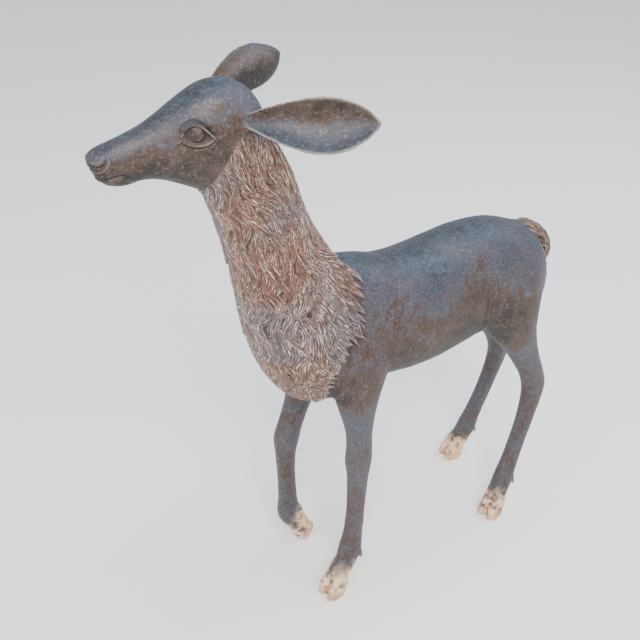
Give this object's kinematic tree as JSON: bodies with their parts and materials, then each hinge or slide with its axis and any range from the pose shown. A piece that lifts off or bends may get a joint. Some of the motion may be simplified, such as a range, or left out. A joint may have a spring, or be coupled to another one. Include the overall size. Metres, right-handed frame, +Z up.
{
  "type": "deer sculpture",
  "caption": "Life-size young deer in cast bronze, standing with head raised, ears back and the right foreleg on its toe, with carved locks on neck and chest and a brown and blue-grey patina",
  "frame": {"origin": "on the ground, under the middle of the animal's bounding box", "axes": "+X towards the nose, +Y towards the animal's left side, +Z up"},
  "size_m": [0.8702, 0.2526, 0.9458],
  "materials": {
    "bronze": "patinated, satin"
  },
  "bodies": {
    "root": {"deer": "bronze"}
  },
  "joints": []
}
